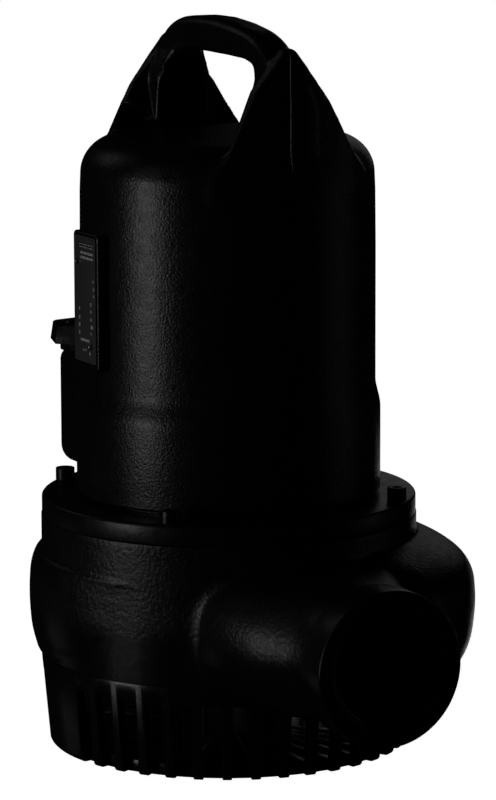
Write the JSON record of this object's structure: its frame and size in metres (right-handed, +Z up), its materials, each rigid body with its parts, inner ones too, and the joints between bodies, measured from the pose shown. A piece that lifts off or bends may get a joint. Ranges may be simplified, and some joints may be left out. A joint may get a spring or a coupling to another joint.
{
  "type": "submersible dirty water pump",
  "caption": "Submersible dirty water pump: cast motor housing with lifting handle, bolted flange, spiral casing with a threaded side discharge, and a slotted strainer base.",
  "frame": {"origin": "on the motor axis, at the underside of the strainer", "axes": "+Z up along the motor axis, +X along the discharge and away from the cable entry, -Y to the side with the rating plate"},
  "size_m": [0.3784, 0.2949, 0.4916],
  "materials": {
    "rough_paint": "black epoxy coating with the rough skin of sand-cast iron under it",
    "smooth_paint": "black epoxy coating, satin, on smooth castings",
    "dark_steel": "blackened steel",
    "plate_metal": "dark printed plate",
    "rivet_metal": "bright",
    "rubber": "matte black",
    "bare_iron": "uncoated, dark"
  },
  "bodies": {
    "root": {"motor_housing": "rough_paint", "lifting_handle": "smooth_paint", "rating_plate": "plate_metal", "plate_rivet_upper": "rivet_metal", "plate_rivet_lower": "rivet_metal", "cable_entry_box": "smooth_paint", "cable_entry_cover": "smooth_paint", "cover_screw_1": "dark_steel", "cover_screw_2": "dark_steel", "cover_screw_3": "dark_steel", "cover_screw_4": "dark_steel", "power_cable_gland": "dark_steel", "power_cable_gland_seal": "rubber", "control_cable_gland": "dark_steel", "control_cable_gland_seal": "rubber", "oil_chamber_cover": "smooth_paint", "flange_screw_1": "dark_steel", "flange_screw_2": "dark_steel", "flange_screw_3": "dark_steel", "flange_screw_4": "dark_steel", "volute_casing": "rough_paint", "suction_cover": "bare_iron", "impeller": "bare_iron", "impeller_screw": "dark_steel", "pump_shaft": "dark_steel", "strainer": "smooth_paint", "strainer_screw_1": "dark_steel", "strainer_screw_2": "dark_steel", "strainer_screw_3": "dark_steel", "strainer_screw_4": "dark_steel"}
  },
  "joints": []
}
